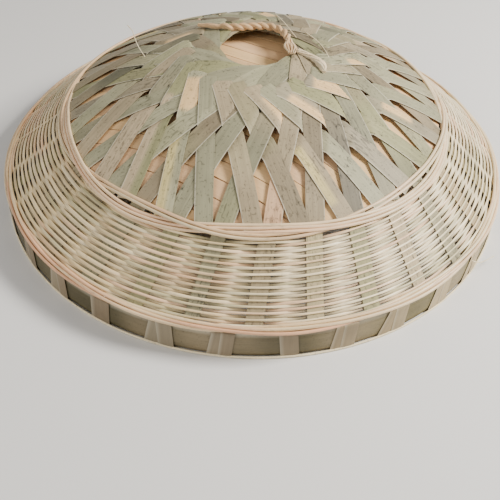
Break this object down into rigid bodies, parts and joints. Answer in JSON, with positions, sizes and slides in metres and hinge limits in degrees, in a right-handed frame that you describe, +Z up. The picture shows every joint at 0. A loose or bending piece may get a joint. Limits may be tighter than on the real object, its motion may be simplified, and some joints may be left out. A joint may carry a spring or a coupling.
{
  "type": "conical hat",
  "caption": "Woven bamboo hat: low crown of crossed flat splints with a round top hole, woven sloping skirt, bound hoop rim, head ring inside, fibre cord at the hole.",
  "frame": {"origin": "centre of the rim's underside, where the hat rests", "axes": "+Z up through the crown's hole; the front of the hat faces -Y"},
  "size_m": [0.4218, 0.4212, 0.1293],
  "materials": {
    "bamboo_splint": "matte, dry green-grey bamboo skin with fine grain and specks",
    "bamboo_lining": "matte, salmon-tan bamboo pith side",
    "bamboo_weft": "satin, split bamboo, straw to cream",
    "bamboo_stake": "matte, grey-green flat bamboo",
    "border_rod": "satin, peach and cream split bamboo",
    "rim_hoop": "satin, olive bamboo skin with specks",
    "rim_binding": "matte, grey-pink beige flat splint",
    "head_ring": "matte, pale bamboo",
    "head_ring_hoop": "satin, split bamboo",
    "fibre_cord": "matte, twisted dry plant fibre"
  },
  "bodies": {
    "root": {"crown_splints_left": "bamboo_splint", "crown_splints_right": "bamboo_splint", "crown_lining": "bamboo_lining", "skirt_weft": "bamboo_weft", "skirt_stakes": "bamboo_stake", "upper_border_rod_1": "border_rod", "upper_border_rod_2": "border_rod", "upper_border_rod_3": "border_rod", "upper_border_rod_4": "border_rod", "upper_border_rod_5": "border_rod", "lower_border_rod_1": "border_rod", "lower_border_rod_2": "border_rod", "lower_border_rod_3": "border_rod", "lower_border_rod_4": "border_rod", "rim_hoop_outer": "rim_hoop", "rim_hoop_inner": "rim_hoop", "rim_bindings": "rim_binding", "head_ring_band": "head_ring", "head_ring_hoop_lower": "head_ring_hoop", "head_ring_hoop_upper": "head_ring_hoop", "head_ring_stays": "head_ring_hoop", "head_ring_lashings": "rim_binding", "hang_cord": "fibre_cord", "hang_cord_tail": "fibre_cord"}
  },
  "joints": []
}
